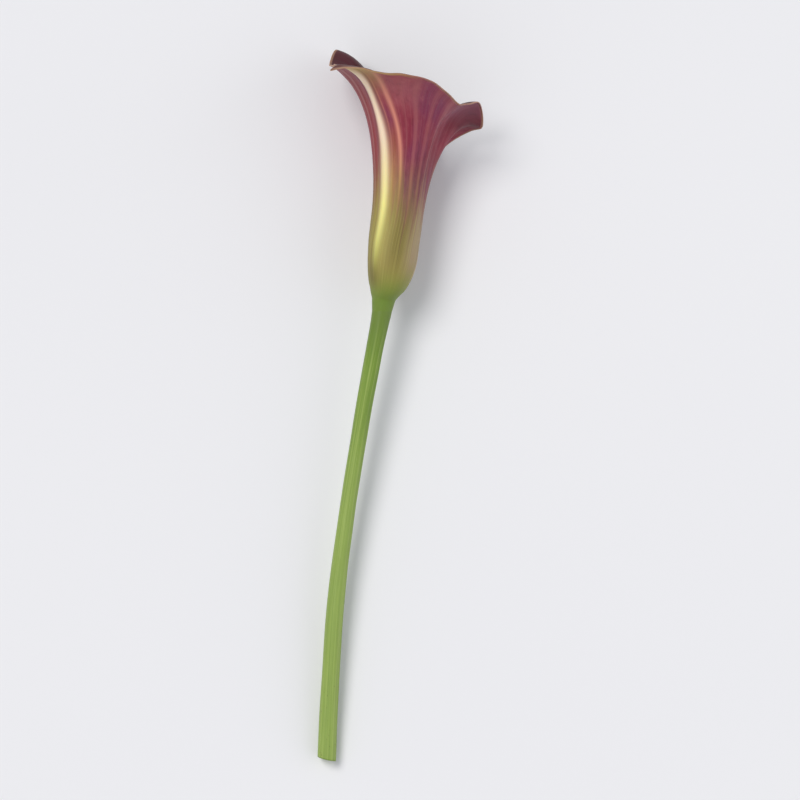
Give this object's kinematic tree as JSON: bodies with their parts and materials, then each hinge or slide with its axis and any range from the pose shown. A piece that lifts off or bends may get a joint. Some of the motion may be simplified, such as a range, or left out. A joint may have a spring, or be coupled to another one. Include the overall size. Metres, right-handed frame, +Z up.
{
  "type": "arum lily flower",
  "caption": "Picked arum lily flower lying on its side: a cut stem, a rolled funnel-shaped spathe with a recurved tip, and the spadix inside.",
  "frame": {"origin": "centre of the lying flower's bounding box, on the surface that it rests on", "axes": "+Y along the flower from the cut end to the bloom, +Z up from the surface, the midrib side up"},
  "size_m": [0.0626, 0.2688, 0.0605],
  "materials": {
    "stem": "smooth waxy green stalk, paler streaks, fibrous cut end",
    "spathe": "satin petal, maroon limb with fanning pink veins, cream to yellow midrib, olive tube",
    "spadix": "matt golden florets, paler green seed zone at the foot"
  },
  "bodies": {
    "root": {"stem": "stem", "spathe": "spathe", "spadix": "spadix"}
  },
  "joints": []
}
